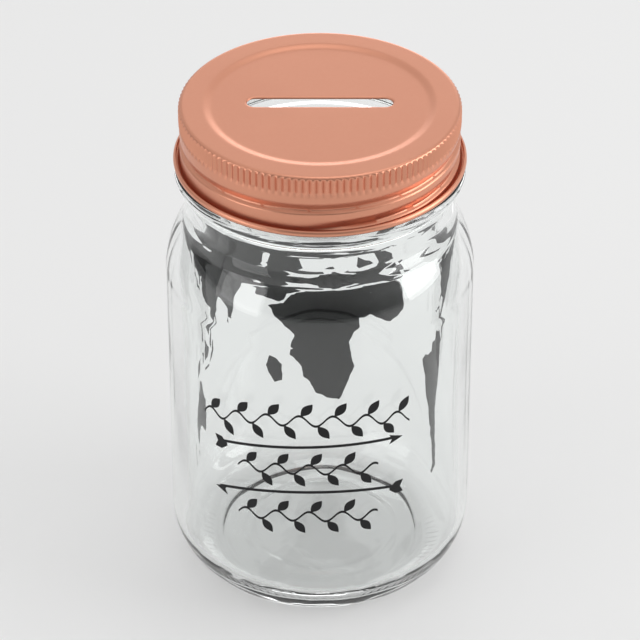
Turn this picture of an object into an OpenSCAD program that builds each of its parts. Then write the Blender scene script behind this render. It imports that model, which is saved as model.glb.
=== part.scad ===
// Glass coin bank jar: a round jar with a continuous screw thread, a one-piece pressed metal lid
// with a coin slot, the sealing ring bonded under the lid, and a printed design on the glass:
// a world map round the back and sides, and two arrows with leaf sprays on the front.
// +Z is up, the origin is the middle of the foot ring, and -Y is the front.

/* [Jar] */
// Outside diameter of the glass body
body_d = 80; // [78:0.5:84]
// Height of the glass, from the foot ring to the rim
jar_h = 136.2; // [134:0.2:140]
// Thickness of the body's wall
wall = 3.4; // [2.8:0.1:4]
// Height at which the straight body turns into the shoulder
shoulder_z = 88; // [84:0.5:89]
// Rise of the pushed-up base above the foot ring
push_up = 1.8; // [1:0.1:3]

/* [Mouth and thread] */
// Diameter of the mouth
mouth_d = 60.4; // [58:0.2:61]
// Diameter of the neck at the bottom of its thread
thread_root_d = 67.2; // [66:0.2:67.4]
// Diameter over the crest of the glass thread
thread_crest_d = 69.4; // [68.6:0.1:69.6]
// Rise of the thread in one turn
thread_pitch = 5.08; // [5:0.02:5.2]

/* [Lid] */
// Diameter of the lid's skirt
lid_d = 71.4; // [71.2:0.1:72]
// Diameter over the rolled bottom edge of the lid
curl_d = 74.8; // [74:0.2:75.6]
// Height of the lid
lid_h = 16.5; // [16:0.1:17]
// Thickness of the lid's sheet metal
sheet_t = 0.3; // [0.25:0.05:0.4]
// Depth of the sunk panel in the lid's top
panel_drop = 0.5; // [0.3:0.1:0.6]
// Length of the coin slot
slot_l = 37; // [30:1:44]
// Width of the coin slot
slot_w = 4.4; // [4.4:0.1:6]
// Distance of the coin slot behind the middle of the lid
slot_back = 1.2; // [-3:0.2:3]

/* [Printed design] */
// Height of the map's equator
equator_z = 41.9; // [38:0.1:44]
// Turn round the jar for each degree of longitude, at the middle of the map
turn_per_lon = 0.99; // [0.8:0.01:1.1]
// Longitude that lies at the back of the jar
back_lon = 27; // [0:1:40]
// How far the print stands out of the glass
ink_t = 0.1; // [0.05:0.01:0.2]

/* [Hidden] */

$fn = 96;

glass_color = [0.86, 0.92, 0.92, 0.35];
copper_color = [0.84, 0.55, 0.45];
liner_color = [0.93, 0.92, 0.88];
ink_color = [0.08, 0.08, 0.09];

// ---- the jar's section ----
body_r = body_d / 2;
inner_r = body_r - wall;
mouth_r = mouth_d / 2;
root_r = thread_root_d / 2;
crest_r = thread_crest_d / 2;

heel_side_r = 18;         // radius of the heel where it leaves the body
heel_foot_r = 9;          // tighter radius where the heel meets the foot ring
heel_split = 40;          // angle at which the two heel arcs meet
foot_out_r = body_r - heel_side_r + (heel_side_r - heel_foot_r) * cos(heel_split);
foot_in_r = foot_out_r - 2.4;
heel_top_z = heel_side_r * sin(heel_split) + heel_foot_r * (1 - sin(heel_split));

shoulder_r = 30;          // radius of the rounded shoulder
shoulder_turn = 30;       // angle through which it turns before the neck's fillet
neck_fillet_r = 8;
shoulder_cx = body_r - shoulder_r;
neck_r = shoulder_cx + (shoulder_r + neck_fillet_r) * cos(shoulder_turn) - neck_fillet_r;
neck_z = shoulder_z + (shoulder_r + neck_fillet_r) * sin(shoulder_turn);

bead_r = 1.9;             // radius of the bead's section, just under the lid
bead_out_r = 37.2;
bead_z = jar_h - 17.4;
rim_round = 1.1;

floor_t = 5.0;            // thickness of the glass in the middle of the base
floor_drop = 1.6;         // fall of the floor from its middle to its edge
inside_heel_r = 8;
inside_fillet_r = 10;
inside_turn = acos((mouth_r - shoulder_cx + inside_fillet_r)
                   / (shoulder_r - wall + inside_fillet_r));

// Points along an arc of radius r about [cx, cz], from angle a0 to a1
function arc(cx, cz, r, a0, a1, n = 10) =
    [for (i = [0:n]) let (a = a0 + (a1 - a0) * i / n) [cx + r * cos(a), cz + r * sin(a)]];

// Points of a shallow dome from its middle to radius r_edge, where it has fallen by drop
function dome(r_edge, z_mid, drop, n = 6) =
    let (rr = (r_edge * r_edge + drop * drop) / (2 * drop))
    arc(0, z_mid - rr, rr, 90, acos(r_edge / rr), n);

function reversed(list) = [for (i = [len(list) - 1:-1:0]) list[i]];

jar_outside = concat(
    dome(foot_in_r, push_up, push_up - 0.15),
    [[foot_in_r + 0.15, 0]],
    arc(foot_out_r, heel_foot_r, heel_foot_r, -90, -heel_split),
    arc(body_r - heel_side_r, heel_top_z, heel_side_r, -heel_split, 0),
    arc(shoulder_cx, shoulder_z, shoulder_r, 0, shoulder_turn),
    arc(neck_r + neck_fillet_r, neck_z, neck_fillet_r, 180 + shoulder_turn, 180, 6),
    [[neck_r, bead_z - 3.2]],
    arc(bead_out_r - bead_r, bead_z, bead_r, -65, 65),
    [[root_r, bead_z + 2.5]],
    arc(root_r - rim_round, jar_h - rim_round, rim_round, 0, 90, 6));

jar_inside = concat(
    dome(inner_r - inside_heel_r, push_up + floor_t, floor_drop),
    arc(inner_r - inside_heel_r, push_up + floor_t - floor_drop + inside_heel_r,
        inside_heel_r, -88, 0),
    arc(shoulder_cx, shoulder_z, shoulder_r - wall, 0, inside_turn),
    arc(mouth_r + inside_fillet_r,
        shoulder_z + (shoulder_r - wall + inside_fillet_r) * sin(inside_turn),
        inside_fillet_r, 180 + inside_turn, 180, 6),
    arc(mouth_r + rim_round, jar_h - rim_round, rim_round, 180, 90, 6));

// ---- the lid's section, from its underside round the curl to its top ----
total_h = jar_h + 1.4;
lid_bottom_z = total_h - lid_h;
skirt_r = lid_d / 2;
curl_r = (curl_d / 2 - skirt_r + sheet_t) / 2;
corner_r = 1.0;
panel_r = 0.765 * skirt_r;
ledge_r = 0.835 * skirt_r;

lid_outside = concat(
    [[0, total_h - panel_drop], [panel_r, total_h - panel_drop], [ledge_r, total_h]],
    arc(skirt_r - corner_r, total_h - corner_r, corner_r, 90, 0, 6),
    reversed(arc(skirt_r + curl_r - sheet_t, lid_bottom_z + curl_r, curl_r - sheet_t, 70, 180 )));

lid_inside = concat(
    [[0, total_h - panel_drop - sheet_t], [panel_r, total_h - panel_drop - sheet_t],
     [ledge_r, total_h - sheet_t]],
    arc(skirt_r - corner_r, total_h - corner_r, corner_r - sheet_t, 90, 0, 6),
    arc(skirt_r + curl_r - sheet_t, lid_bottom_z + curl_r, curl_r, 180, 430, 20));

// ---- the screw threads ----
lid_thread_front_z = total_h - 9.4;   // height of the lid's rolled thread at the front
thread_step = 7.5;
thread_fade = 30;                     // turn over which a thread runs out at each end

// Sections as [radius, height above the helix], with the edge at the wall first and last
glass_ridge = [[root_r - 0.4, -1.3], [crest_r, -0.7], [crest_r, 0.7], [root_r - 0.4, 1.3]];
lid_ridge = [[skirt_r - 0.1, 2.0], [skirt_r - 0.85, 0.8], [skirt_r - 1.25, 0.1],
             [skirt_r - 1.4, -0.5], [skirt_r - 1.25, -1.05], [skirt_r - 0.1, -1.3]];
lid_groove = [[skirt_r + 0.2, 2.3], [skirt_r - 0.5, 1.0], [skirt_r - 0.95, 0.2],
              [skirt_r - 1.1, -0.45], [skirt_r - 0.95, -0.75], [skirt_r + 0.2, -1.0]];

// Height of the lid's helix at an azimuth counted from +X, with the front at 270 degrees
function helix_z(azimuth) = lid_thread_front_z + thread_pitch * (azimuth - 270) / 360;

// How much of the thread's depth is left near its ends
function run_out(azimuth, from, to) =
    min(1, min(azimuth - from, to - azimuth) / thread_fade + 0.02);

// A thread of the given section from one azimuth to another, its helix lifted by lift
module helical_thread(section, from, to, lift = 0) {
    n = len(section);
    steps = ceil((to - from) / thread_step);
    base = section[0][0];
    points = [for (i = [0:steps], p = section)
        let (a = from + (to - from) * i / steps, k = run_out(a, from, to),
             r = base + (p[0] - base) * k)
        [r * cos(a), r * sin(a), helix_z(a) + lift + p[1] * (0.4 + 0.6 * k)]];
    sides = [for (i = [0:steps - 1], j = [0:n - 1])
        let (j2 = (j + 1) % n)
        [i * n + j, i * n + j2, (i + 1) * n + j2, (i + 1) * n + j]];
    first = [for (j = [n - 1:-1:0]) j];
    last = [for (j = [0:n - 1]) steps * n + j];
    polyhedron(points, concat(sides, [first, last]), convexity = 6);
}

// ---- the printed design ----
strip_turn = 6;                       // the print is laid on in strips this wide
strip_lap = 0.03;                     // overlap of one strip on the next in the fine prints
strip_gap = 0.06;                     // hairline between the strips of the map
ink_sink = 0.15;                      // how deep the solids of the print start in the glass
mm_per_turn = body_r * PI / 180;      // length round the body of one degree
side_squeeze = 84;                    // degrees of longitude over which the meridians close up
side_lift = 0.0016;                   // rise towards the sides, in mm for each squared degree
print_top = shoulder_z - 0.3;         // the solids of the print stop here, below the shoulder
map_scale = 0.682;                    // millimetres of height to a degree of latitude

// Coastlines as [longitude, latitude]
africa = [[-6, 35.8], [-1, 35.5], [4, 37], [10, 37.3], [11, 34], [15, 32], [20, 31], [22, 33],
    [29, 31], [32.5, 31.2], [33.5, 28], [37, 22], [38, 18], [41, 14.5], [43, 11.5], [51, 11.8],
    [47.5, 5], [42, -1.5], [39, -6], [40.5, -13], [36, -19], [35.3, -23.5], [32.5, -26.5],
    [30, -31.5], [25, -34], [19.5, -34.7], [17, -30], [14.5, -23], [12, -17], [13.5, -11],
    [12, -5], [9, -1], [9.5, 3.8], [7, 4.3], [4, 6.3], [-3, 5], [-8, 4.5], [-13, 8.5],
    [-16.5, 12.5], [-17, 15], [-16, 20], [-14, 26], [-10, 30]];
eurasia = [[-9, 37], [-9, 43], [-2, 43.5], [-1.5, 46], [-4.5, 48.5], [1.5, 50.5], [4, 52],
    [8.5, 54], [8.3, 57], [10.5, 57.5], [10.5, 54.5], [14, 54], [19, 54.5], [21.5, 57],
    [24, 58.5], [29, 60], [23, 60], [21.5, 62], [25, 65], [22, 65.8], [18, 62.5], [17, 59.5],
    [16, 56.3], [13, 55.5], [11.5, 58.8], [7, 58], [5, 61], [10, 64], [14, 67.5], [20, 70],
    [27, 71], [31, 70], [41, 67], [38, 64], [44, 66.5], [54, 68.5], [67, 69], [68, 72.5],
    [73, 68], [75, 72], [81, 73.5], [90, 75.5], [104, 77], [113, 74], [129, 72], [140, 72.5],
    [152, 71], [170, 70], [180, 69], [190, 66], [180, 64.5], [177, 62.5], [170, 60],
    [163, 59.5], [163, 56], [157, 51.2], [155.5, 55], [156, 58], [150, 59.5], [142, 59],
    [135, 54.7], [141, 52.5], [140, 48], [131, 43], [128, 40], [129.5, 36], [126.5, 34.5],
    [124.5, 40], [118, 39], [122, 37], [119.5, 35], [122, 31], [120, 26.5], [116, 23],
    [110.5, 21], [106, 19], [109, 13], [105, 8.7], [101, 13], [99.5, 10], [103.5, 4.5],
    [104, 1.3], [101, 3], [98.5, 8], [98, 14], [94.5, 16], [94, 20], [91, 22.5], [87, 21.5],
    [82, 16.5], [80, 14], [80, 10], [77.5, 8], [74.5, 14], [72.8, 20], [67, 24.5], [62, 25.3],
    [57, 26.5], [51.5, 28], [50, 30], [48, 29.5], [50.5, 26], [52, 24], [55, 24.5],
    [59.5, 22.5], [57, 18.5], [52.5, 16], [45, 12.8], [43, 13.5], [39, 21.5], [35, 28],
    [34.5, 31.5], [36, 36], [31, 36.5], [27, 37], [26.5, 40], [29, 41], [35, 42], [41, 41.3],
    [38, 44.5], [39, 47], [34, 46], [32, 46.3], [28.5, 44], [28, 41.5], [23.5, 40.3], [23, 37],
    [21.5, 37.3], [19.5, 41.5], [14, 45], [12.5, 44.5], [18, 40.3], [16, 38], [15.5, 40],
    [10.5, 43.5], [7.5, 43.8], [3.5, 43.2], [0, 39.5], [-2, 36.8], [-6, 36.2]];
caspian = [[49, 45], [53, 46.5], [51, 44], [53, 41], [53.5, 37], [50, 37.5], [49, 41]];
north_america = [[-168, 66], [-162, 70], [-156, 71.3], [-141, 69.7], [-128, 70], [-115, 68.5],
    [-95, 68.5], [-94, 72], [-86, 69.5], [-82, 68], [-86, 66.5], [-94, 61.5], [-94.5, 58.8],
    [-88, 56.8], [-82, 55], [-81, 51.5], [-79, 52], [-77, 57.5], [-78, 62.5], [-72, 62],
    [-69.5, 59], [-65, 60.3], [-61, 56.5], [-56, 52.5], [-60, 50.2], [-66, 50], [-65, 47.5],
    [-60.5, 46.5], [-66, 43.7], [-70, 43.5], [-70, 41.7], [-74, 40.5], [-76, 34.8],
    [-81, 31.5], [-80, 26.5], [-81.2, 25.2], [-82.7, 28.5], [-84.5, 30], [-94.5, 29.5],
    [-97.3, 27], [-97.7, 22], [-94.5, 18.2], [-91, 18.7], [-90.3, 21], [-87, 21.3],
    [-88.3, 16.5], [-83.3, 15], [-83.5, 11], [-81, 8.8], [-77, 8.8], [-77, 7.6], [-83, 8.3],
    [-87.5, 13], [-94, 16], [-102, 18], [-105.5, 20.5], [-109, 25.5], [-112.5, 30.5],
    [-114.5, 31.3], [-111.3, 26], [-109.6, 23.2], [-112.3, 26.2], [-115.5, 30], [-117.3, 33],
    [-120.6, 34.6], [-124.3, 40.4], [-124, 46.5], [-123, 49], [-127.5, 51], [-131, 55],
    [-136, 58.3], [-148, 60.5], [-154, 58], [-163, 54.8], [-157.5, 58.5], [-165.5, 62],
    [-161, 64.5]];
south_america = [[-78, 8.4], [-75, 11], [-71.5, 12.3], [-68, 11], [-62, 10.7], [-57, 6],
    [-51.5, 4.5], [-50, 0], [-44, -2.5], [-39, -3.5], [-35, -6], [-35, -9], [-39, -13.5],
    [-39.5, -18], [-41.5, -22.5], [-48, -26], [-49, -29], [-54, -34], [-58, -34.3],
    [-57.5, -38], [-62, -39], [-65, -42], [-66, -46], [-69, -51], [-68.5, -53], [-72, -53],
    [-75.5, -48.5], [-73.5, -42], [-73.5, -37], [-71.5, -30], [-70.3, -18.5], [-76, -14],
    [-79.5, -8], [-81.3, -5], [-80, -2.5], [-80, 1], [-77.5, 4]];
australia = [[114, -22], [117, -20.5], [122, -18], [125, -14.5], [130, -12], [136, -12],
    [135.5, -15], [140.5, -17.5], [142.5, -10.8], [146, -19], [150, -22.5], [153.3, -27],
    [151, -33.5], [147, -38], [144, -38.5], [140, -37.5], [137.5, -33.5], [134, -32.5],
    [131, -31.5], [124, -33.5], [118, -35], [115, -34]];
greenland = [[-45, 60], [-41, 64], [-33, 68], [-22, 70.5], [-18, 77], [-68, 77], [-55, 71],
    [-53, 66]];
islands = [
    [[49.5, -12], [50.5, -16], [47, -25], [44, -24.5], [44, -17]],
    [[-5.5, 50], [1.5, 51.5], [0, 53.5], [-2, 56], [-2.5, 57.8], [-5, 58.6], [-6, 56],
     [-3.5, 54.5], [-4.5, 52]],
    [[-6.5, 52], [-6, 55], [-9.5, 54], [-10, 52]],
    [[-22, 64], [-14, 64.5], [-15, 66.3], [-22.5, 66]],
    [[52, 71], [56, 71], [68, 76.5], [60, 76]],
    [[130, 31.5], [131, 34.3], [136, 35.8], [140, 40], [141.5, 45.3], [145.5, 43.5],
     [141.5, 41.5], [141.5, 38], [140.5, 35.5], [135.5, 33.5]],
    [[142, 54], [143.5, 49], [142.5, 46], [142, 50]],
    [[120.5, 18.5], [122, 18], [122, 14], [125.5, 10], [126, 6.5], [122, 7.5], [120.5, 14]],
    [[95.5, 5.5], [98, 4], [104, -2.5], [105.5, -5.8], [102, -4], [98, 1]],
    [[105.5, -6.5], [114, -7.5], [114, -8.7], [106, -7.7]],
    [[109, 1.5], [114, 4.5], [117, 7], [119, 5], [117.5, 1], [116, -4], [110.5, -3]],
    [[119.5, -5.5], [120, 0.5], [125, 1.3], [121, -1.2], [123, -5], [121, -3]],
    [[131, -1], [135, -3], [138, -1.7], [145, -4.5], [150, -10], [143, -9], [138, -8],
     [133, -4]],
    [[80, 9.5], [81.8, 7.5], [80.5, 6]],
    [[145, -41], [148, -41], [147, -43.5]],
    [[173, -35], [178.5, -38], [175.5, -41.5], [174.5, -38.5]],
    [[172.5, -40.7], [174, -42], [170.5, -46], [167, -46]],
    [[-62, 66], [-73, 68], [-80, 70], [-88, 73.5], [-80, 73.8], [-72, 71.3], [-67, 69]],
    [[-116, 69.5], [-104, 69], [-105, 72.5], [-117, 73]],
    [[-124, 72], [-121, 71.5], [-118, 74], [-124, 74.5]],
    [[-84.5, 22], [-82, 23], [-77, 21.7], [-74.3, 20.2], [-77.5, 20]],
    [[-74, 18.3], [-73, 19.8], [-68.5, 18.6]],
    [[-59, 47.7], [-53, 46.8], [-55.5, 51.3]]];

// Turn of a longitude from the back of the jar: the meridians close up towards the jar's sides
function lon_turn(lon) =
    let (l = lon - back_lon)
    l * turn_per_lon / sqrt(1 + pow(l / side_squeeze, 2));

// Height of a place above the foot: evenly spaced parallels that bow up towards the jar's sides
function place_z(turn, lat) =
    equator_z + map_scale * lat + side_lift * pow(turn * cos(lat), 2);

// A coast laid out flat, as [length round the jar from +X, height]
function chart(coast) =
    [for (p = coast) let (t = lon_turn(p[0])) [mm_per_turn * (90 + t), place_z(t, p[1])]];

land = [for (coast = concat([africa, eurasia, north_america, south_america, australia,
                             greenland], islands)) chart(coast)];

// Arrows: each shaft is a shallow bow, highest near the front and lower at its ends
shaft_w = 0.8;
arrow_head = [3.1, 2.9];          // length and half-width
fletch_w = 1.9;                   // half-width of the feathered tail
// [left end, right end, highest point] in degrees from the front, [height, bow in mm per degree^2]
upper_arrow = [[-42.5, 32, 10], [59.3, 0.00192]];
lower_arrow = [[-42.5, 32.5, 3], [44.6, 0.0026]];

function bow_z(arrow, a) = arrow[1][0] - arrow[1][1] * pow(a - arrow[0][2], 2);

// Leaf sprays: a waving stem with a leaf at every half wave
// [left end, right end] in degrees from the front, height of the stem, wave height, leaf length
upper_spray = [[-48, 35], 67.2, 1.6, 5.0];
middle_spray = [[-32, 22], 51.8, 1.5, 4.8];
lower_spray = [[-32, 22], 36.6, 1.5, 4.8];
spray_bow = 0.0026;
stem_half = 0.34;                 // half the thickness of a spray's stem
leaf_turn = 6.2;                  // degrees round the jar from one leaf to the next

// Flat outlines wrapped on to the body in strips, from one azimuth to another, each strip wider
// than its share by lap
module wrapped(from, to, lap) {
    strips = ceil((to - from) / strip_turn);
    turn = (to - from) / strips;
    strip_w = turn * mm_per_turn + lap;
    for (i = [0:strips - 1]) {
        azimuth = from + (i + 0.5) * turn;
        rotate([0, 0, azimuth])
            translate([body_r - ink_sink, 0, 0])
                rotate([90, 0, 90])
                    linear_extrude(ink_sink + ink_t)
                        intersection() {
                            translate([-azimuth * mm_per_turn, 0])
                                children();
                            translate([-strip_w / 2, 0])
                                square([strip_w, print_top]);
                        }
    }
}

module jar() {
    color(glass_color) {
        rotate_extrude()
            polygon(concat(jar_outside, reversed(jar_inside)));
        helical_thread(glass_ridge, 0, 420, lift = 1.9);
    }
}

module lid() {
    color(copper_color)
        difference() {
            union() {
                rotate_extrude()
                    polygon(concat(lid_outside, reversed(lid_inside)));
                helical_thread(lid_ridge, -100, 400);
            }
            helical_thread(lid_groove, -100, 400);
            coin_slot();
        }
}

// The slot's straight-sided hole with half-round ends
module coin_slot() {
    translate([0, slot_back, total_h - 3])
        linear_extrude(6)
            union() {
                square([slot_l - slot_w, slot_w], center = true);
                for (side = [-1, 1])
                    translate([side * (slot_l - slot_w) / 2, 0])
                        circle(d = slot_w);
            }
}

// The ring of sealing compound between the lid's ledge and the glass rim
module lid_liner() {
    gap = 0.05;
    color(liner_color)
        rotate_extrude()
            translate([mouth_r + 1.5, jar_h + gap])
                square([skirt_r - corner_r - mouth_r - 1.7, total_h - sheet_t - jar_h - 2 * gap]);
}

module map_print() {
    west = 90 + lon_turn(-168.5);
    east = 90 + lon_turn(190.5);
    color(ink_color)
        wrapped(west, east, -strip_gap)
            difference() {
                for (outline = land)
                    polygon(outline);
                polygon(chart(caspian));
            }
}

module arrow(shape, to_right) {
    ends = shape[0];
    steps = 24;
    shaft = [for (i = [0:steps]) let (a = ends[0] + 2 + (ends[1] - ends[0] - 4) * i / steps)
        [a * mm_per_turn, bow_z(shape, a)]];
    tip_a = to_right ? ends[1] : ends[0];
    tail_a = to_right ? ends[0] : ends[1];
    dir = to_right ? 1 : -1;
    color(ink_color)
        wrapped(270 + ends[0] - 1, 270 + ends[1] + 1, strip_lap)
            translate([270 * mm_per_turn, 0])
                union() {
                    polygon(concat([for (p = shaft) p + [0, shaft_w / 2]],
                                   reversed([for (p = shaft) p - [0, shaft_w / 2]])));
                    translate([tip_a * mm_per_turn, bow_z(shape, tip_a)])
                        scale([dir, 1])
                            polygon([[0, 0], [-arrow_head[0] - 0.8, arrow_head[1] / 2],
                                     [-arrow_head[0], 0], [-arrow_head[0] - 0.8, -arrow_head[1] / 2]]);
                    translate([tail_a * mm_per_turn, bow_z(shape, tail_a)])
                        scale([dir, 1])
                            polygon([[0, fletch_w], [2.2, fletch_w], [4, 0.4], [4, -0.4],
                                     [2.2, -fletch_w], [0, -fletch_w], [0.9, 0]]);
                }
}

module arrow_print_upper() {
    arrow(upper_arrow, to_right = true);
}

module arrow_print_lower() {
    arrow(lower_arrow, to_right = false);
}

// A leaf that points along +X from its stalk, made of two arcs
module leaf(length) {
    half = 8;
    width = 0.25 * length;
    polygon(concat([for (i = [0:half]) [length * i / half, width * sin(180 * i / half)]],
                   [for (i = [half - 1:-1:1]) [length * i / half, -width * sin(180 * i / half)]]));
}

module spray(shape) {
    ends = shape[0];
    wave = shape[2];
    steps = 8 * ceil((ends[1] - ends[0]) / leaf_turn);
    leaves = floor((ends[1] - ends[0]) / leaf_turn);
    color(ink_color)
        wrapped(270 + ends[0] - 4, 270 + ends[1] + 4, strip_lap)
            translate([270 * mm_per_turn, 0])
                union() {
                    stem = [for (i = [0:steps]) let (a = ends[0] + (ends[1] - ends[0]) * i / steps)
                        [a * mm_per_turn, stem_z(shape, a)]];
                    polygon(concat([for (p = stem) p + [0, stem_half]],
                                   reversed([for (p = stem) p - [0, stem_half]])));
                    for (i = [0:leaves - 1]) {
                        a = ends[0] + (i + 0.6) * leaf_turn;
                        up = i % 2 == 0 ? 1 : -1;
                        translate([a * mm_per_turn, stem_z(shape, a)])
                            rotate(up * 52)
                                leaf(shape[3]);
                    }
                }
}

// Height of a spray's stem at an angle from the front
function stem_z(shape, a) =
    shape[1] - spray_bow * a * a + shape[2] * sin((a - shape[0][0]) * 180 / leaf_turn);

module spray_print_upper() {
    spray(upper_spray);
}

module spray_print_middle() {
    spray(middle_spray);
}

module spray_print_lower() {
    spray(lower_spray);
}

jar();
lid();
lid_liner();
map_print();
arrow_print_upper();
arrow_print_lower();
spray_print_upper();
spray_print_middle();
spray_print_lower();
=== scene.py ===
# %% [markdown]
# # A coin bank jar
# The part is a glass jar with a copper-coloured screw lid that has a slot for coins, and a black
# design printed on the glass. The CAD model comes first, as a frame that fixes every size and
# place. Each piece made here stands for one CAD node, and rides on that node's body.

# %% Load the frame
import math

import bmesh
import bpy
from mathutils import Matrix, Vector, noise


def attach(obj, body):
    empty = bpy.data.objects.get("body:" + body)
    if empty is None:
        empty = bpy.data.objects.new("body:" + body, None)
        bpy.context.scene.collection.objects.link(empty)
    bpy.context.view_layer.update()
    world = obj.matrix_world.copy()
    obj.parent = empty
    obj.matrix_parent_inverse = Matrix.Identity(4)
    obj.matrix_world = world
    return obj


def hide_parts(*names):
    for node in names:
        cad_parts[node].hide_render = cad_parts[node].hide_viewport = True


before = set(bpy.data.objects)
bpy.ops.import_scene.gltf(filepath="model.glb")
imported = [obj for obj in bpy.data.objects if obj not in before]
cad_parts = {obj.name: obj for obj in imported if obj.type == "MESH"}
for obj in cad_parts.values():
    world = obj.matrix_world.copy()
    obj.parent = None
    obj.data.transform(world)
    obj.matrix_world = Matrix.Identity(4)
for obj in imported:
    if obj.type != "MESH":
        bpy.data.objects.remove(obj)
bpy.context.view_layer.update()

mm = 0.001

# %% [markdown]
# ## The camera
# The camera comes first, because it decides what needs care. It stands well back with a long
# lens, so that the jar shows little perspective, and looks down at about 35 degrees.

# %% Make the camera
camera_distance = 936.6 * mm
camera_pitch = math.radians(34.75)
look_at = Vector((0, 0, 70.9 * mm))

camera_data = bpy.data.cameras.new("camera")
camera_data.sensor_width = 36
camera_data.lens = 200.4
camera = bpy.data.objects.new("camera", camera_data)
bpy.context.scene.collection.objects.link(camera)
bpy.context.scene.camera = camera
camera.location = look_at + camera_distance * Vector(
    (0, -math.cos(camera_pitch), math.sin(camera_pitch)))
camera.rotation_euler = (math.pi / 2 - camera_pitch, 0, 0)
print("camera at", [round(c, 3) for c in camera.location])

# %% [markdown]
# ## Helpers for the meshes
# Nearly everything here is round, so the main helper turns a section about the jar's axis with
# bmesh's spin. A full spin closes on itself when use_merge is on. Points on the axis come out
# once per step, so they are merged, and only then are the normals put right.

# %% Turn a section about the jar's axis
def arc(cx, cz, radius, start, end, count=10):
    """Points along an arc about (cx, cz), with angles in degrees."""
    angles = [math.radians(start + (end - start) * i / count) for i in range(count + 1)]
    return [(cx + radius * math.cos(a), cz + radius * math.sin(a)) for a in angles]


def straight(start, end, count):
    """Points between two ends, without the ends themselves."""
    return [tuple(a + (b - a) * i / count for a, b in zip(start, end)) for i in range(1, count)]


def turned(section, columns, closed=False):
    """A bmesh made by spinning a section of (radius, height) in mm about the axis."""
    bm = bmesh.new()
    verts = [bm.verts.new((r * mm, 0, z * mm)) for r, z in section]
    pairs = list(zip(verts, verts[1:])) + ([(verts[-1], verts[0])] if closed else [])
    edges = [bm.edges.new(pair) for pair in pairs]
    bmesh.ops.spin(bm, geom=verts + edges, cent=(0, 0, 0), axis=(0, 0, 1),
                   angle=2 * math.pi, steps=columns, use_merge=True, use_duplicate=False)
    bmesh.ops.remove_doubles(bm, verts=bm.verts, dist=0.0005 * mm)
    bmesh.ops.recalc_face_normals(bm, faces=bm.faces)
    return bm


def smooth_step(x):
    """Eases from 0 to 1 as x goes from 0 to 1."""
    x = min(1, max(0, x))
    return x * x * (3 - 2 * x)

# %% Turn a bmesh into a finished piece
def piece(name, bm, material, body, nodes, sharp_angle=40):
    """Makes the object, gives it its finish, sets it on its body and hides the CAD nodes it stands
    for.
    """
    mesh = bpy.data.meshes.new(name)
    bm.to_mesh(mesh)
    bm.free()
    mesh.materials.append(material)
    mesh.shade_smooth()
    mesh.set_sharp_from_angle(angle=math.radians(sharp_angle))
    made = bpy.data.objects.new(name, mesh)
    bpy.context.scene.collection.objects.link(made)
    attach(made, body)
    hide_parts(*nodes)
    print(name, "has", len(mesh.vertices), "vertices and", len(mesh.polygons), "faces")
    return made

# %% Helpers for the finishes
def new_finish(name):
    """A new material, with its nodes, its links and its Principled shader."""
    material = bpy.data.materials.new(name)
    material.use_nodes = True
    nodes = material.node_tree.nodes
    return material, nodes, material.node_tree.links, nodes["Principled BSDF"]


def noise_node(nodes, links, scale, detail=3, stretch=(1, 1, 1)):
    """Noise on Object coordinates, with a Mapping node that stretches it."""
    place = nodes.new("ShaderNodeTexCoord")
    mapping = nodes.new("ShaderNodeMapping")
    mapping.inputs["Scale"].default_value = stretch
    texture = nodes.new("ShaderNodeTexNoise")
    texture.inputs["Scale"].default_value = scale
    texture.inputs["Detail"].default_value = detail
    links.new(place.outputs["Object"], mapping.inputs["Vector"])
    links.new(mapping.outputs["Vector"], texture.inputs["Vector"])
    return texture


def ranged(nodes, links, source, low, high):
    """Maps a noise output from its usual 0.3 to 0.7 on to a range."""
    remap = nodes.new("ShaderNodeMapRange")
    remap.inputs["From Min"].default_value = 0.3
    remap.inputs["From Max"].default_value = 0.7
    remap.inputs["To Min"].default_value = low
    remap.inputs["To Max"].default_value = high
    links.new(source, remap.inputs["Value"])
    return remap.outputs["Result"]


def two_tone(nodes, links, source, low, high):
    """Mixes two colours by a noise output."""
    ramp = nodes.new("ShaderNodeValToRGB")
    ramp.color_ramp.elements[0].position = 0.3
    ramp.color_ramp.elements[1].position = 0.7
    ramp.color_ramp.elements[0].color = (*low, 1)
    ramp.color_ramp.elements[1].color = (*high, 1)
    links.new(source, ramp.inputs["Fac"])
    return ramp.outputs["Color"]


def bumped(nodes, links, source, shader, strength, distance):
    """Adds a bump from a height to a shader."""
    bump = nodes.new("ShaderNodeBump")
    bump.inputs["Strength"].default_value = strength
    bump.inputs["Distance"].default_value = distance
    links.new(source, bump.inputs["Height"])
    links.new(bump.outputs["Normal"], shader.inputs["Normal"])

# %% [markdown]
# ## The finishes
# Clear glass is a Principled shader with full transmission, left as a plain number so that the
# exported model keeps it. Pressed glass is never quite even, so a broad, very weak bump bends
# what is seen through it. The lid is a satin copper lacquer on tinplate: metallic, with a fine
# grain in its roughness. The print is an opaque satin ink, and the sealing ring is matt.

# %% Glass
glass, nodes, links, shader = new_finish("pressed_glass")
shader.inputs["Base Color"].default_value = (0.975, 0.99, 0.985, 1)
shader.inputs["IOR"].default_value = 1.5
shader.inputs["Transmission Weight"].default_value = 1
ripple = noise_node(nodes, links, 70, detail=1, stretch=(1, 1, 0.5))
links.new(ranged(nodes, links, ripple.outputs["Fac"], 0.0, 0.02), shader.inputs["Roughness"])
bumped(nodes, links, ripple.outputs["Fac"], shader, 0.12, 0.0008)

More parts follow.
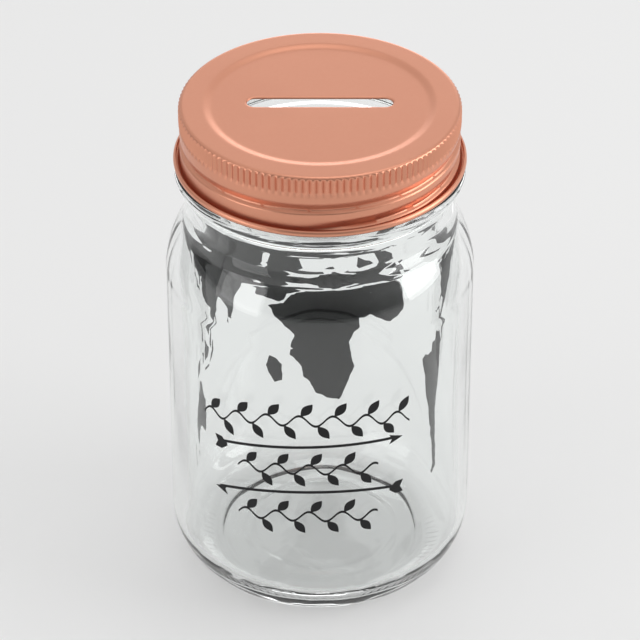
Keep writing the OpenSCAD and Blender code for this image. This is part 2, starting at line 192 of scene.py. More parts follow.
# %% Copper lacquer
copper, nodes, links, shader = new_finish("copper_lacquer")
shader.inputs["Metallic"].default_value = 0.9
broad = noise_node(nodes, links, 30, detail=3)
grain = noise_node(nodes, links, 900, detail=4)
links.new(two_tone(nodes, links, broad.outputs["Fac"], (0.71, 0.315, 0.205),
                   (0.735, 0.33, 0.215)), shader.inputs["Base Color"])
links.new(ranged(nodes, links, grain.outputs["Fac"], 0.34, 0.40), shader.inputs["Roughness"])
bumped(nodes, links, grain.outputs["Fac"], shader, 0.02, 0.00003)

# %% Ink
ink, nodes, links, shader = new_finish("printed_ink")
speck = noise_node(nodes, links, 600, detail=3)
links.new(two_tone(nodes, links, speck.outputs["Fac"], (0.006, 0.006, 0.007),
                   (0.010, 0.010, 0.011)), shader.inputs["Base Color"])
shader.inputs["Specular IOR Level"].default_value = 0.3
links.new(ranged(nodes, links, speck.outputs["Fac"], 0.45, 0.6), shader.inputs["Roughness"])
bumped(nodes, links, speck.outputs["Fac"], shader, 0.1, 0.00003)

# %% Sealing compound
compound, nodes, links, shader = new_finish("sealing_compound")
cloud = noise_node(nodes, links, 250, detail=3)
links.new(two_tone(nodes, links, cloud.outputs["Fac"], (0.78, 0.76, 0.70),
                   (0.84, 0.82, 0.77)), shader.inputs["Base Color"])
links.new(ranged(nodes, links, cloud.outputs["Fac"], 0.5, 0.65), shader.inputs["Roughness"])
bumped(nodes, links, cloud.outputs["Fac"], shader, 0.2, 0.0001)
print("finishes:", [finish.name for finish in (glass, copper, ink, compound)])

# %% [markdown]
# ## The glass jar
# The jar is one piece of pressed glass, and its look comes from how its inner and outer skins
# bend the light. So it is one closed skin: a section that runs from the axis, out under the
# base, up the outside, over the rim, and down the inside back to the axis. The section's sizes
# are the CAD's, with more points on each curve. The thread, the knurled ring under the heel,
# the mould seams and the uneven inner wall are then moves of the turned points, so the skin
# stays closed and no hidden faces are left in the glass to bend the light wrongly.

# %% The jar's sizes, in mm
body_r = 40
inner_r = 36.6
mouth_r = 30.2
root_r = 33.6
crest_r = 34.7
jar_h = 136.2
shoulder_z = 88
push_up = 1.8
heel_side_r = 18
heel_foot_r = 9
heel_split = 40
foot_out_r = (body_r - heel_side_r
              + (heel_side_r - heel_foot_r) * math.cos(math.radians(heel_split)))
foot_in_r = foot_out_r - 2.4
split_sin = math.sin(math.radians(heel_split))
heel_top_z = heel_side_r * split_sin + heel_foot_r * (1 - split_sin)
shoulder_r = 30
shoulder_turn = 30
neck_fillet_r = 8
shoulder_cx = body_r - shoulder_r
turn_cos = math.cos(math.radians(shoulder_turn))
neck_r = shoulder_cx + (shoulder_r + neck_fillet_r) * turn_cos - neck_fillet_r
neck_z = shoulder_z + (shoulder_r + neck_fillet_r) * math.sin(math.radians(shoulder_turn))
bead_r = 1.9
bead_out_r = 37.2
bead_z = jar_h - 17.4
rim_round = 1.1
wall = body_r - inner_r
floor_t = 5.0
floor_drop = 1.6
inside_heel_r = 8
inside_fillet_r = 10
inside_turn = math.degrees(math.acos((mouth_r - shoulder_cx + inside_fillet_r)
                                     / (shoulder_r - wall + inside_fillet_r)))
print("neck radius", round(neck_r, 2), "from height", round(neck_z, 2))

# %% The jar's section
def dome(edge_r, middle_z, drop, count):
    """A shallow dome from the axis to a radius, where it has fallen by drop."""
    radius = (edge_r ** 2 + drop ** 2) / (2 * drop)
    return arc(0, middle_z - radius, radius, 90, math.degrees(math.acos(edge_r / radius)), count)


inside_shoulder_r = shoulder_r - wall
inside_neck_z = shoulder_z + ((inside_shoulder_r + inside_fillet_r)
                              * math.sin(math.radians(inside_turn)))
neck_top_z = bead_z - 3.2
thread_low = (root_r, bead_z + 2.5)
thread_high = (root_r, jar_h - rim_round)
outer_skin = (
    dome(foot_in_r, push_up, push_up - 0.15, 26)
    + [(foot_in_r + 0.15, 0)]
    + arc(foot_out_r, heel_foot_r, heel_foot_r, -90, -heel_split, 14)
    + arc(body_r - heel_side_r, heel_top_z, heel_side_r, -heel_split, 0, 16)[1:]
    + straight((body_r, heel_top_z), (body_r, shoulder_z), 16)
    + arc(shoulder_cx, shoulder_z, shoulder_r, 0, shoulder_turn, 14)
    + arc(neck_r + neck_fillet_r, neck_z, neck_fillet_r, 180 + shoulder_turn, 180, 8)[1:]
    + straight((neck_r, neck_z), (neck_r, neck_top_z), 4) + [(neck_r, neck_top_z)]
    + arc(bead_out_r - bead_r, bead_z, bead_r, -65, 65, 14)
    + [thread_low] + straight(thread_low, thread_high, 36)
    + arc(root_r - rim_round, jar_h - rim_round, rim_round, 0, 90, 8))
inner_skin = (
    arc(mouth_r + rim_round, jar_h - rim_round, rim_round, 90, 180, 8)
    + straight((mouth_r, jar_h - rim_round), (mouth_r, inside_neck_z), 6)
    + arc(mouth_r + inside_fillet_r, inside_neck_z, inside_fillet_r,
          180, 180 + inside_turn, 10)
    + arc(shoulder_cx, shoulder_z, inside_shoulder_r, inside_turn, 0, 14)[1:]
    + straight((inner_r, shoulder_z),
               (inner_r, push_up + floor_t - floor_drop + inside_heel_r), 20)
    + arc(inner_r - inside_heel_r, push_up + floor_t - floor_drop + inside_heel_r,
          inside_heel_r, 0, -88, 16)
    + dome(inner_r - inside_heel_r, push_up + floor_t, floor_drop, 8)[::-1])
print("outer skin", len(outer_skin), "points, inner skin", len(inner_skin))

# %% Turn the jar
jar_columns = 288
jar_bm = turned(outer_skin + inner_skin, jar_columns)
print("jar turned:", len(jar_bm.verts), "points")

# %% [markdown]
# The thread is a ridge that climbs one pitch in each turn. Each neck point is pushed out by how
# near it is to the ridge, for every turn of the ridge that passes it, and the ridge fades in and
# out at its ends, as a pressed thread does. The same function serves the lid's rolled groove.

# %% The screw's helix, and the glass thread
total_h = jar_h + 1.4
thread_pitch = 5.08
lid_thread_front_z = total_h - 9.4
glass_lift = 1.9
thread_fade = 30
thread_half = 1.3
thread_slope = 0.6


def helix_z(azimuth):
    """Height of the lid's thread at an azimuth in degrees, counted on past a full turn."""
    return lid_thread_front_z + thread_pitch * (azimuth - 270) / 360


def along_thread(azimuth, z, start, end, lift=0):
    """Heights above each passing turn of a thread, with how much of the thread is left there."""
    passes = []
    for turn in range(-1, 3):
        a = azimuth + 360 * turn
        if start <= a <= end:
            left = smooth_step(min(a - start, end - a) / thread_fade)
            passes.append((z - helix_z(a) - lift, left))
    return passes


def azimuth_of(co):
    """Direction of a point from the axis, in degrees from 0 to 360."""
    return math.degrees(math.atan2(co.y, co.x)) % 360


def push_out(vert, amount):
    """Moves a point outwards from the axis by an amount in mm."""
    r = math.hypot(vert.co.x, vert.co.y)
    vert.co.x *= 1 + amount * mm / r
    vert.co.y *= 1 + amount * mm / r


thread_points = 0
for vert in jar_bm.verts:
    r, z = math.hypot(vert.co.x, vert.co.y) / mm, vert.co.z / mm
    if abs(r - root_r) < 0.01 and thread_low[1] < z < thread_high[1]:
        near = along_thread(azimuth_of(vert.co), z, 0, 420, glass_lift)
        ridge = max([left * smooth_step((thread_half - abs(dz)) / thread_slope)
                     for dz, left in near], default=0)
        push_out(vert, ridge * (crest_r - root_r))
        thread_points += ridge > 0
print("thread moved", thread_points, "points")

# %% [markdown]
# A pressed jar also shows how it was made. The plunger leaves the inner wall slightly wavy, the
# two mould halves leave a fine seam up each side, the mould's plug leaves a ring mark under the
# base, and a ring of small ridges under the heel keeps the hot base off the conveyor.

# %% Wavy inner wall, mould seams and the ring of ridges
wave_deep = 0.22
wave_size = 17
chill_deep = 0.2
chill_size = 9
fine_chill_size = 4
mark_r = 19
mark_deep = 0.3
mark_half = 1.5
seam_high = 0.07
seam_turn = 1.5
ridge_top = 1.6
ridge_deep = 0.22
for vert in jar_bm.verts:
    r, z = math.hypot(vert.co.x, vert.co.y) / mm, vert.co.z / mm
    if r < 1:
        continue
    azimuth = azimuth_of(vert.co)
    inside = r < inner_r + 0.5 and z > push_up + 1.5 and not (
        z > neck_z - 20 and r > mouth_r + 2.5)
    if inside and z < jar_h - 6:
        wave = noise.noise(Vector((vert.co.x, vert.co.y, vert.co.z * 0.45)) / (wave_size * mm))
        push_out(vert, smooth_step((z - 8) / 15) * wave_deep * wave)
        chill = (noise.noise(vert.co / (chill_size * mm))
                 + 0.5 * noise.noise(vert.co / (fine_chill_size * mm)))
        vert.co.z += chill_deep * mm * chill * smooth_step((26 - z) / 12)
    elif r > body_r - 12 and heel_top_z < z < jar_h - 20:
        off_seam = min(abs(azimuth - 180), azimuth, 360 - azimuth)
        push_out(vert, seam_high * smooth_step(1 - off_seam / seam_turn))
    if z < push_up + 0.1 and r < foot_in_r:
        vert.co.z += mark_deep * mm * smooth_step(1 - abs(r - mark_r) / mark_half)
    if 0.02 < z < ridge_top and r > foot_out_r:
        column = round(azimuth * jar_columns / 360) % 3
        if column:
            ease = smooth_step(z / 0.2) * smooth_step((ridge_top - z) / 0.4)
            vert.co.z += ridge_deep * mm * ease
print("jar's lowest point", round(min(v.co.z for v in jar_bm.verts) / mm, 3), "mm")

# %% Finish the jar
piece("jar_glass", jar_bm, glass, "jar_body", ["jar"], sharp_angle=75)

# %% [markdown]
# ## The lid
# The lid is pressed from one disc of thin sheet, so it is made the same way: one sheet surface,
# shaped first and given its thickness last. The sheet runs from the lip of the slot, over the
# sunk panel, round the corner, down the skirt with its ribs and rolled thread, and round the
# curl at the bottom. Because the thickness comes last, the ribs and the thread show on the
# inside too, as they do on the real lid.

# %% The lid's sizes, in mm
skirt_r = 35.7
curl_out_r = 37.4
lid_h = 16.5
sheet_t = 0.3
panel_drop = 0.5
slot_l = 37
slot_w = 4.4
slot_back = 1.2
corner_r = 1.0
curl_r = (curl_out_r - skirt_r + sheet_t) / 2
lid_bottom_z = total_h - lid_h
panel_r = 27.2
ledge_r = 29.9
lid_columns = 512
rib_count = 128
rib_top = total_h - 0.3
rib_bottom = total_h - 5.5
print("curl radius", round(curl_r, 2))

# %% The lid's section and its turned sheet
curl_cx = skirt_r + curl_r - sheet_t
curl_cz = lid_bottom_z + curl_r
step_down = [(panel_r + (ledge_r - panel_r) * k / 10,
              total_h - panel_drop * (1 - smooth_step(k / 10))) for k in range(11)]
lid_sheet = (
    [(panel_r - 0.6, total_h - panel_drop)] + step_down
    + [(ledge_r + 0.5, total_h), (skirt_r - corner_r - 0.3, total_h)]
    + arc(skirt_r - corner_r, total_h - corner_r, corner_r, 90, 0, 6)
    + straight((skirt_r, total_h - corner_r), (skirt_r, rib_bottom), 9)
    + straight((skirt_r, rib_bottom), (skirt_r, curl_cz), 36)
    + arc(curl_cx, curl_cz, curl_r - sheet_t, 180, 430, 14))
lid_bm = turned(lid_sheet, lid_columns)
print("lid sheet", len(lid_bm.faces), "faces")

# %% Press in the ribs and roll in the thread
rib_high = 0.62
groove_deep = 1.05


def groove(dz):
    """Depth of the rolled groove: a long slope from above and a sharp shoulder below."""
    if dz > -0.45:
        return smooth_step((2.4 - dz) / 2.85)
    return smooth_step((dz + 1.15) / 0.7)


for vert in lid_bm.verts:
    r, z = math.hypot(vert.co.x, vert.co.y) / mm, vert.co.z / mm
    if abs(r - skirt_r) > 0.4:
        continue
    azimuth = azimuth_of(vert.co)
    if rib_bottom < z < rib_top:
        ease = smooth_step((rib_top - z) / 0.5) * smooth_step((z - rib_bottom) / 0.7)
        rib = 0.5 + 0.5 * math.cos(math.radians(azimuth * rib_count))
        push_out(vert, rib_high * ease * (rib - 0.75))
    elif curl_cz + 0.3 < z <= rib_bottom and abs(r - skirt_r) < 0.02:
        depth = max([left * groove(dz) for dz, left in
                     along_thread(azimuth, z, -100, 400)], default=0)
        push_out(vert, -groove_deep * depth * smooth_step((rib_bottom - z) / 0.6)
                 * smooth_step((z - curl_cz - 0.3) / 0.6))
print("ribs and thread pressed")

# %% [markdown]
# The slot is punched in the panel, and its edge is turned down a little. The flat panel is filled
# between the sheet's inner ring and a loop round the slot. The lip is that loop extruded a few
# times, and each new loop is moved closer to the slot's middle line, and down.

# %% Cut in the slot with its turned-down lip
slot_half = (slot_l - slot_w) / 2


def slot_loop(bm, radius, z, count=20):
    """A loop of edges round the slot's shape, with a given end radius and height in mm."""
    right = arc(slot_half, slot_back, radius, -90, 90, count)
    left = arc(-slot_half, slot_back, radius, 90, 270, count)
    outline = (right + straight(right[-1], left[0], 12) + left
               + straight(left[-1], right[0], 12))
    loop = [bm.verts.new((x * mm, y * mm, z * mm)) for x, y in outline]
    return [bm.edges.new(pair) for pair in zip(loop, loop[1:] + loop[:1])]


def set_from_middle_line(vert, radius, z):
    """Puts a point at a distance from the slot's middle line, and at a height, in mm."""
    nearest = Vector((min(slot_half, max(-slot_half, vert.co.x / mm)), slot_back, 0))
    away = Vector((vert.co.x / mm, vert.co.y / mm, 0)) - nearest
    place = nearest + away.normalized() * radius
    vert.co = (place.x * mm, place.y * mm, z * mm)


panel_z = total_h - panel_drop
inner_ring = [e for e in lid_bm.edges if e.is_boundary
              and all(math.hypot(v.co.x, v.co.y) / mm < panel_r for v in e.verts)]
lip_edges = slot_loop(lid_bm, slot_w / 2 + 0.9, panel_z)
bmesh.ops.triangle_fill(lid_bm, edges=inner_ring + lip_edges, use_beauty=True)
lip = [(0.5, 0), (0.2, -0.06), (0.04, -0.25), (0, -0.5)]
for beyond, drop in lip:
    grown = bmesh.ops.extrude_edge_only(lid_bm, edges=lip_edges)["geom"]
    for vert in grown:
        if isinstance(vert, bmesh.types.BMVert):
            set_from_middle_line(vert, slot_w / 2 + beyond, panel_z + drop)
    lip_edges = [e for e in grown if isinstance(e, bmesh.types.BMEdge) and e.is_boundary]
bmesh.ops.recalc_face_normals(lid_bm, faces=lid_bm.faces)
up = sum(f.normal.z * f.calc_area() for f in lid_bm.faces)
print("ring", len(inner_ring), "lip", len(lip_edges), "facing up" if up > 0 else "facing down")

# %% Give the sheet its thickness
if up < 0:
    bmesh.ops.reverse_faces(lid_bm, faces=lid_bm.faces)
lid = piece("lid_copper", lid_bm, copper, "lid_body", ["lid"], sharp_angle=60)
thickness = lid.modifiers.new("sheet", "SOLIDIFY")
thickness.thickness = sheet_t * mm
thickness.offset = -1
thickness.use_even_offset = False
print("lid sheet", sheet_t, "mm thick")

# %% [markdown]
# ## The sealing ring
# Sealing compound is poured as a liquid into the lid's ledge and cured there, so its face is
# soft and slightly sunk in the middle, where the rim has pressed it.

# %% Pour the sealing ring
ring_in, ring_out = mouth_r + 1.5, skirt_r - corner_r - 0.2
ring_low, ring_high = jar_h + 0.05, total_h - sheet_t - 0.05
ring_round = 0.3
ring_mid = (ring_in + ring_out) / 2
ring_section = (
    arc(ring_in + ring_round, ring_low + ring_round, ring_round, 180, 270, 5)
    + [(ring_mid - 0.6, ring_low + 0.02), (ring_mid, ring_low + 0.06),
       (ring_mid + 0.6, ring_low + 0.02)]
    + arc(ring_out - ring_round, ring_low + ring_round, ring_round, 270, 360, 5)
    + arc(ring_out - 0.15, ring_high - 0.15, 0.15, 0, 90, 3)
    + arc(ring_in + 0.15, ring_high - 0.15, 0.15, 90, 180, 3))
ring_bm = turned(ring_section, 192, closed=True)
for vert in ring_bm.verts:
    if vert.co.z / mm < ring_low + 0.2:
        vert.co.z += 0.03 * mm * (1 + noise.noise(vert.co / (6 * mm)))
piece("sealing_ring", ring_bm, compound, "liner_body", ["lid_liner"])

# %% [markdown]
# ## The printed design
# Screen-printed ink is a thin opaque film on the glass. Each shape is drawn flat, with its
# length round the jar as x and its height as y. It is cut into triangles, cut again into narrow
# upright strips so that it can bend, wrapped round the glass, and given a little thickness, part
# of it let into the glass so that no gap of air shows behind the ink.

# %% Wrap flat shapes on to the glass
ink_out = 0.07
ink_sink = 0.05
strip_turn = 3
map_top = 96
shoulder_step = 2
mm_per_turn = body_r * math.pi / 180


def glass_radius(z):
    """Outside radius of the glass at a height in mm."""
    if z < heel_top_z:
        return body_r - heel_side_r + math.sqrt(heel_side_r ** 2 - (heel_top_z - z) ** 2)
    if z > shoulder_z:
        return shoulder_cx + math.sqrt(shoulder_r ** 2 - (z - shoulder_z) ** 2)
    return body_r


def flat_shape(bm, *outlines):
    """Fills a flat outline, given in mm; any further outlines are holes in it."""
    edges = []
    for points in outlines:
        verts = [bm.verts.new((x * mm, y * mm, 0)) for x, y in points]
        edges += [bm.edges.new(pair) for pair in zip(verts, verts[1:] + verts[:1])]
    bmesh.ops.triangle_fill(bm, edges=edges, use_beauty=True)


def cut_along(bm, place, normal, clear_outer=False):
    """Cuts the faces that a plane crosses, and clears what lies past it when asked to."""
    bmesh.ops.bisect_plane(bm, geom=bm.verts[:] + bm.edges[:] + bm.faces[:],
                           dist=0.0001 * mm, plane_co=place, plane_no=normal,
                           clear_outer=clear_outer)


def wrapped_print(name, bm, node):
    """Wraps the flat shapes round the glass and makes them a piece."""
    low = math.floor(min(v.co.x for v in bm.verts) / mm / mm_per_turn / strip_turn)
    high = math.ceil(max(v.co.x for v in bm.verts) / mm / mm_per_turn / strip_turn)
    for strip in range(low + 1, high):
        cut_along(bm, (strip * strip_turn * mm_per_turn * mm, 0, 0), (1, 0, 0))
    cut_along(bm, (0, map_top * mm, 0), (0, 1, 0), clear_outer=True)
    for level in range(int(shoulder_z), map_top, shoulder_step):
        cut_along(bm, (0, level * mm, 0), (0, 1, 0))
    for vert in bm.verts:
        azimuth = math.radians(vert.co.x / mm / mm_per_turn)
        r = (glass_radius(vert.co.y / mm) + ink_out) * mm
        vert.co = (r * math.cos(azimuth), r * math.sin(azimuth), vert.co.y)
    for face in bm.faces:
        face.normal_update()
        if face.normal.dot(face.calc_center_median() * Vector((1, 1, 0))) < 0:
            face.normal_flip()
    bmesh.ops.solidify(bm, geom=bm.faces, thickness=(ink_out + ink_sink) * mm)
    reach = [math.hypot(v.co.x, v.co.y) / mm for v in bm.verts]
    print(name, "lies between radii", round(min(reach), 2), "and", round(max(reach), 2))
    piece(name, bm, ink, "jar_body", [node], sharp_angle=30)

# %% [markdown]
# The map is a chart of the world, wrapped round the back and sides of the jar so that it reads
# from outside. Its coasts are short lists of longitude and latitude. Straight lines between them
# would look cut out with a knife, so each coast is divided finely and every point is nudged by a
# smooth noise, which gives bays and headlands and never lets an outline cross itself. Blender
# starts this noise from the clock unless it is given a seed, so it gets one, and the coasts come
# out the same on every run.

# %% Coasts, as longitude and latitude
africa = [
    (-6, 35.8), (-1, 35.5), (4, 37), (10, 37.3), (11, 34), (15, 32), (20, 31), (22, 33), (29, 31),
    (32.5, 31.2), (33.5, 28), (37, 22), (38, 18), (41, 14.5), (43, 11.5), (51, 11.8), (47.5, 5),
    (42, -1.5), (39, -6), (40.5, -13), (36, -19), (35.3, -23.5), (32.5, -26.5), (30, -31.5), (25, -34),
    (19.5, -34.7), (17, -30), (14.5, -23), (12, -17), (13.5, -11), (12, -5), (9, -1), (9.5, 3.8),
    (7, 4.3), (4, 6.3), (-3, 5), (-8, 4.5), (-13, 8.5), (-16.5, 12.5), (-17, 15), (-16, 20), (-14, 26),
    (-10, 30)]
eurasia = [
    (-9, 37), (-9, 43), (-2, 43.5), (-1.5, 46), (-4.5, 48.5), (1.5, 50.5), (4, 52), (8.5, 54),
    (8.3, 57), (10.5, 57.5), (10.5, 54.5), (14, 54), (19, 54.5), (21.5, 57), (24, 58.5), (29, 60),
    (23, 60), (21.5, 62), (25, 65), (22, 65.8), (18, 62.5), (17, 59.5), (16, 56.3), (13, 55.5),
    (11.5, 58.8), (7, 58), (5, 61), (10, 64), (14, 67.5), (20, 70), (27, 71), (31, 70), (41, 67),
    (38, 64), (44, 66.5), (54, 68.5), (67, 69), (68, 72.5), (73, 68), (75, 72), (81, 73.5), (90, 75.5),
    (104, 77), (113, 74), (129, 72), (140, 72.5), (152, 71), (170, 70), (180, 69), (190, 66),
    (180, 64.5), (177, 62.5), (170, 60), (163, 59.5), (163, 56), (157, 51.2), (155.5, 55), (156, 58),
    (150, 59.5), (142, 59), (135, 54.7), (141, 52.5), (140, 48), (131, 43), (128, 40), (129.5, 36),
    (126.5, 34.5), (124.5, 40), (118, 39), (122, 37), (119.5, 35), (122, 31), (120, 26.5), (116, 23),
    (110.5, 21), (106, 19), (109, 13), (105, 8.7), (101, 13), (99.5, 10), (103.5, 4.5), (104, 1.3),
    (101, 3), (98.5, 8), (98, 14), (94.5, 16), (94, 20), (91, 22.5), (87, 21.5), (82, 16.5), (80, 14),
    (80, 10), (77.5, 8), (74.5, 14), (72.8, 20), (67, 24.5), (62, 25.3), (57, 26.5), (51.5, 28),
    (50, 30), (48, 29.5), (50.5, 26), (52, 24), (55, 24.5), (59.5, 22.5), (57, 18.5), (52.5, 16),
    (45, 12.8), (43, 13.5), (39, 21.5), (35, 28), (34.5, 31.5), (36, 36), (31, 36.5), (27, 37),
    (26.5, 40), (29, 41), (35, 42), (41, 41.3), (38, 44.5), (39, 47), (34, 46), (32, 46.3), (28.5, 44),
    (28, 41.5), (23.5, 40.3), (23, 37), (21.5, 37.3), (19.5, 41.5), (14, 45), (12.5, 44.5), (18, 40.3),
    (16, 38), (15.5, 40), (10.5, 43.5), (7.5, 43.8), (3.5, 43.2), (0, 39.5), (-2, 36.8), (-6, 36.2)]
caspian = [
    (49, 45), (53, 46.5), (51, 44), (53, 41), (53.5, 37), (50, 37.5), (49, 41)]
north_america = [
    (-168, 66), (-162, 70), (-156, 71.3), (-141, 69.7), (-128, 70), (-115, 68.5), (-95, 68.5),
    (-94, 72), (-86, 69.5), (-82, 68), (-86, 66.5), (-94, 61.5), (-94.5, 58.8), (-88, 56.8), (-82, 55),
    (-81, 51.5), (-79, 52), (-77, 57.5), (-78, 62.5), (-72, 62), (-69.5, 59), (-65, 60.3), (-61, 56.5),
    (-56, 52.5), (-60, 50.2), (-66, 50), (-65, 47.5), (-60.5, 46.5), (-66, 43.7), (-70, 43.5),
    (-70, 41.7), (-74, 40.5), (-76, 34.8), (-81, 31.5), (-80, 26.5), (-81.2, 25.2), (-82.7, 28.5),
    (-84.5, 30), (-94.5, 29.5), (-97.3, 27), (-97.7, 22), (-94.5, 18.2), (-91, 18.7), (-90.3, 21),
    (-87, 21.3), (-88.3, 16.5), (-83.3, 15), (-83.5, 11), (-81, 8.8), (-77, 8.8), (-77, 7.6),
    (-83, 8.3), (-87.5, 13), (-94, 16), (-102, 18), (-105.5, 20.5), (-109, 25.5), (-112.5, 30.5),
    (-114.5, 31.3), (-111.3, 26), (-109.6, 23.2), (-112.3, 26.2), (-115.5, 30), (-117.3, 33),
    (-120.6, 34.6), (-124.3, 40.4), (-124, 46.5), (-123, 49), (-127.5, 51), (-131, 55), (-136, 58.3),
    (-148, 60.5), (-154, 58), (-163, 54.8), (-157.5, 58.5), (-165.5, 62), (-161, 64.5)]
south_america = [
    (-78, 8.4), (-75, 11), (-71.5, 12.3), (-68, 11), (-62, 10.7), (-57, 6), (-51.5, 4.5), (-50, 0),
    (-44, -2.5), (-39, -3.5), (-35, -6), (-35, -9), (-39, -13.5), (-39.5, -18), (-41.5, -22.5),
    (-48, -26), (-49, -29), (-54, -34), (-58, -34.3), (-57.5, -38), (-62, -39), (-65, -42), (-66, -46),
    (-69, -51), (-68.5, -53), (-72, -53), (-75.5, -48.5), (-73.5, -42), (-73.5, -37), (-71.5, -30),
    (-70.3, -18.5), (-76, -14), (-79.5, -8), (-81.3, -5), (-80, -2.5), (-80, 1), (-77.5, 4)]
australia = [
    (114, -22), (117, -20.5), (122, -18), (125, -14.5), (130, -12), (136, -12), (135.5, -15),
    (140.5, -17.5), (142.5, -10.8), (146, -19), (150, -22.5), (153.3, -27), (151, -33.5), (147, -38),
    (144, -38.5), (140, -37.5), (137.5, -33.5), (134, -32.5), (131, -31.5), (124, -33.5), (118, -35),
    (115, -34)]
greenland = [
    (-45, 60), (-41, 64), (-33, 68), (-22, 70.5), (-18, 77), (-68, 77), (-55, 71), (-53, 66)]
islands = [
    [(49.5, -12), (50.5, -16), (47, -25), (44, -24.5), (44, -17)],
    [(-5.5, 50), (1.5, 51.5), (0, 53.5), (-2, 56), (-2.5, 57.8), (-5, 58.6), (-6, 56),
     (-3.5, 54.5), (-4.5, 52)],
    [(-6.5, 52), (-6, 55), (-9.5, 54), (-10, 52)],
    [(-22, 64), (-14, 64.5), (-15, 66.3), (-22.5, 66)],
    [(52, 71), (56, 71), (68, 76.5), (60, 76)],
    [(130, 31.5), (131, 34.3), (136, 35.8), (140, 40), (141.5, 45.3), (145.5, 43.5),
     (141.5, 41.5), (141.5, 38), (140.5, 35.5), (135.5, 33.5)],
    [(142, 54), (143.5, 49), (142.5, 46), (142, 50)],
    [(120.5, 18.5), (122, 18), (122, 14), (125.5, 10), (126, 6.5), (122, 7.5), (120.5, 14)],
    [(95.5, 5.5), (98, 4), (104, -2.5), (105.5, -5.8), (102, -4), (98, 1)],
    [(105.5, -6.5), (114, -7.5), (114, -8.7), (106, -7.7)],
    [(109, 1.5), (114, 4.5), (117, 7), (119, 5), (117.5, 1), (116, -4), (110.5, -3)],
    [(119.5, -5.5), (120, 0.5), (125, 1.3), (121, -1.2), (123, -5), (121, -3)],
    [(131, -1), (135, -3), (138, -1.7), (145, -4.5), (150, -10), (143, -9), (138, -8), (133, -4)],
    [(80, 9.5), (81.8, 7.5), (80.5, 6)],
    [(145, -41), (148, -41), (147, -43.5)],
    [(173, -35), (178.5, -38), (175.5, -41.5), (174.5, -38.5)],
    [(172.5, -40.7), (174, -42), (170.5, -46), (167, -46)],
    [(-62, 66), (-73, 68), (-80, 70), (-88, 73.5), (-80, 73.8), (-72, 71.3), (-67, 69)],
    [(-116, 69.5), (-104, 69), (-105, 72.5), (-117, 73)],
    [(-124, 72), (-121, 71.5), (-118, 74), (-124, 74.5)],
    [(-84.5, 22), (-82, 23), (-77, 21.7), (-74.3, 20.2), (-77.5, 20)],
    [(-74, 18.3), (-73, 19.8), (-68.5, 18.6)],
    [(-59, 47.7), (-53, 46.8), (-55.5, 51.3)]]

# %% Lay the coasts out on the glass
equator_z = 41.9
turn_per_lon = 0.99
back_lon = 27
side_squeeze = 84
side_lift = 0.0016
map_scale = 0.682
coast_seed = 1
noise.seed_set(coast_seed)


def chart_point(lon, lat):
    """Where a place lies, as length round the jar from +X and height, in mm."""
    l = lon - back_lon
    turn = l * turn_per_lon / math.sqrt(1 + (l / side_squeeze) ** 2)
    lift = side_lift * (turn * math.cos(math.radians(lat))) ** 2
    return mm_per_turn * (90 + turn), equator_z + map_scale * lat + lift


def rugged(points, step=0.55, deep=0.42, size=2.4):
    """Divides an outline finely and nudges it by noise, in mm."""
    fine = []
    for a, b in zip(points, points[1:] + points[:1]):
        count = max(1, round(math.dist(a, b) / step))
        fine += [a] + straight(a, b, count)
    nudged = []
    for x, y in fine:
        shift = noise.noise_vector(Vector((x, y, 0)) / size)
        nudged.append((x + deep * shift.x, y + deep * shift.y))
    return nudged


def coast(places):
    """A coast laid out flat and made rugged."""
    return rugged([chart_point(*place) for place in places])

# %% Cut out and wrap the map
map_bm = bmesh.new()
flat_shape(map_bm, coast(eurasia), coast(caspian))
for places in [africa, north_america, south_america, australia, greenland] + islands:
    flat_shape(map_bm, coast(places))
wrapped_print("world_map", map_bm, "map_print")

# %% [markdown]
# The two arrows on the front point opposite ways. Each has a thin shaft with a shallow bow, a
# barbed head and a notched, feathered tail, and is drawn as three flat outlines.

# %% Draw the arrows
shaft_w = 0.8
head_l, head_w = 3.1, 2.9
tail_w = 1.9
front = 270 * mm_per_turn


def arrow_bm(left, right, peak, height, bow, to_right):
    """An arrow between two angles from the front, highest at a third angle, its peak."""
    bm = bmesh.new()
    facing = 1 if to_right else -1

    def level(a):
        return height - bow * (a - peak) ** 2

    angles = [left + 2 + (right - left - 4) * i / 48 for i in range(49)]
    above = [(front + a * mm_per_turn, level(a) + shaft_w / 2) for a in angles]
    below = [(front + a * mm_per_turn, level(a) - shaft_w / 2) for a in angles[::-1]]
    flat_shape(bm, above + below)
    tip, tail = (right, left) if to_right else (left, right)
    head = [(0, 0), (-head_l - 0.8, head_w / 2), (-head_l, 0), (-head_l - 0.8, -head_w / 2)]
    feather = [(0, tail_w), (2.2, tail_w), (4, 0.4), (4, -0.4), (2.2, -tail_w), (0, -tail_w),
               (0.9, 0)]
    for end, shape in ((tip, head), (tail, feather)):
        flat_shape(bm, [(front + end * mm_per_turn + facing * x, level(end) + y)
                        for x, y in shape])
    return bm


wrapped_print("upper_arrow", arrow_bm(-42.5, 32, 10, 59.3, 0.00192, True), "arrow_print_upper")
wrapped_print("lower_arrow", arrow_bm(-42.5, 32.5, 3, 44.6, 0.0026, False), "arrow_print_lower")

# %% [markdown]
# Above, between and below the arrows run three leaf sprays: a thin waving stem with a leaf at
# every half wave, swept up and down in turn, like pen strokes.

# %% Draw the leaf sprays
leaf_turn = 6.2
spray_bow = 0.0026
stem_half = 0.34
leaf_half = 0.25
leaf_lean = 52


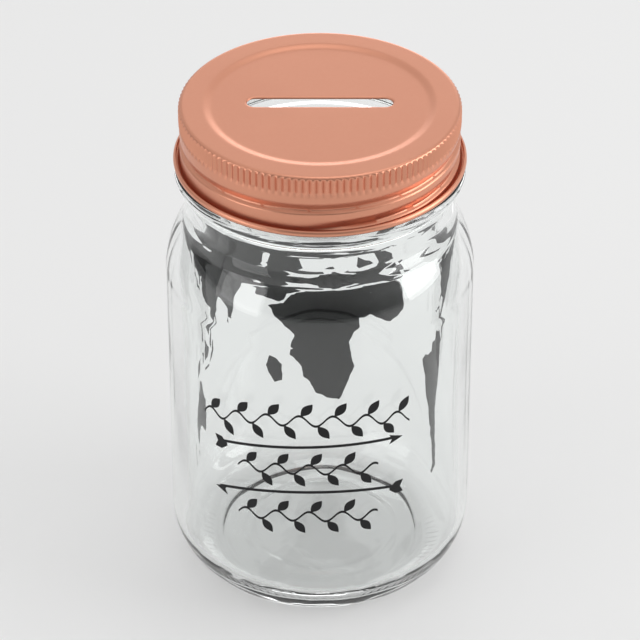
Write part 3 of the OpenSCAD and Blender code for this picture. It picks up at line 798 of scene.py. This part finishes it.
def spray_bm(left, right, height, wave, leaf_l):
    """A waving stem with leaves, between two angles from the front."""
    bm = bmesh.new()

    def stem(a):
        return height - spray_bow * a * a + wave * math.sin(math.pi * (a - left) / leaf_turn)

    angles = [left + (right - left) * i / 120 for i in range(121)]
    above = [(front + a * mm_per_turn, stem(a) + stem_half) for a in angles]
    below = [(front + a * mm_per_turn, stem(a) - stem_half) for a in angles[::-1]]
    flat_shape(bm, above + below)
    for i in range(int((right - left) // leaf_turn)):
        a = left + (i + 0.6) * leaf_turn
        lean = math.radians(leaf_lean if i % 2 == 0 else -leaf_lean)
        side = [(leaf_l * k / 12, leaf_half * leaf_l * math.sin(math.pi * k / 12))
                for k in range(13)]
        leaf = side + [(x, -y) for x, y in side[-2:0:-1]]
        flat_shape(bm, [(front + a * mm_per_turn + x * math.cos(lean) - y * math.sin(lean),
                         stem(a) + x * math.sin(lean) + y * math.cos(lean)) for x, y in leaf])
    return bm


wrapped_print("upper_spray", spray_bm(-48, 35, 67.2, 1.6, 5.0), "spray_print_upper")
wrapped_print("middle_spray", spray_bm(-32, 22, 51.8, 1.5, 4.8), "spray_print_middle")
wrapped_print("lower_spray", spray_bm(-32, 22, 36.6, 1.5, 4.8), "spray_print_lower")

# %% [markdown]
# ## The studio
# The picture is shown with the plain standard curve, so that the white floor, the pale veil on
# the glass and the black ink keep the contrast that they have to the eye.
#
# Clear glass is only as good as what it reflects. The floor and the light from above are pale,
# and the light darkens towards the horizon, which draws the grey lines along the glass's edges.
# Big soft lights give the long highlights, the brightest one low on the right, and a low one
# behind lights the front of the lid's sunk panel.

# %% The floor
bpy.context.scene.view_settings.view_transform = "Standard"
floor_finish, nodes, links, shader = new_finish("studio_floor")
shader.inputs["Base Color"].default_value = (0.45, 0.45, 0.45, 1)
shader.inputs["Specular IOR Level"].default_value = 0.1
shader.inputs["Emission Color"].default_value = (1, 1, 0.995, 1)
shader.inputs["Emission Strength"].default_value = 0.39
shader.inputs["Roughness"].default_value = 0.8
floor_bm = bmesh.new()
bmesh.ops.create_grid(floor_bm, x_segments=1, y_segments=1, size=4)
bmesh.ops.translate(floor_bm, verts=floor_bm.verts, vec=(0, 0, -0.15 * mm))
floor_mesh = bpy.data.meshes.new("studio_floor")
floor_bm.to_mesh(floor_mesh)
floor_bm.free()
floor_mesh.materials.append(floor_finish)
floor = bpy.data.objects.new("studio_floor", floor_mesh)
bpy.context.scene.collection.objects.link(floor)

# %% The light from all round
world = bpy.data.worlds.new("studio")
bpy.context.scene.world = world
world.use_nodes = True
nodes, links = world.node_tree.nodes, world.node_tree.links
direction = nodes.new("ShaderNodeTexCoord")
lean = nodes.new("ShaderNodeVectorMath")
lean.operation = "DOT_PRODUCT"
lean.inputs[1].default_value = (0.30, 0.60, 1.0)
level = nodes.new("ShaderNodeMapRange")
level.interpolation_type = "SMOOTHSTEP"
level.inputs["From Min"].default_value = -0.30
level.inputs["From Max"].default_value = 0.55
level.inputs["To Min"].default_value = 0.09
level.inputs["To Max"].default_value = 0.71
links.new(direction.outputs["Generated"], lean.inputs[0])
links.new(lean.outputs["Value"], level.inputs["Value"])
links.new(level.outputs["Result"], nodes["Background"].inputs["Strength"])
nodes["Background"].inputs["Color"].default_value = (1, 1, 1, 1)

# %% The soft lights
def soft_light(name, place, size, power):
    """A square area light that faces the middle of the jar."""
    data = bpy.data.lights.new(name, "AREA")
    data.size = size
    data.energy = power
    light = bpy.data.objects.new(name, data)
    bpy.context.scene.collection.objects.link(light)
    light.location = place
    light.visible_camera = False
    light.rotation_euler = (look_at - Vector(place)).to_track_quat("-Z", "Y").to_euler()


soft_light("right_light", (1.0, -0.12, 0.40), 0.7, 5.6)
soft_light("left_light", (-0.9, -0.5, 0.3), 0.7, 3)
soft_light("top_light", (0.2, 0.35, 1.6), 0.9, 3)
soft_light("back_light", (0.1, 1.3, 0.30), 0.6, 2)
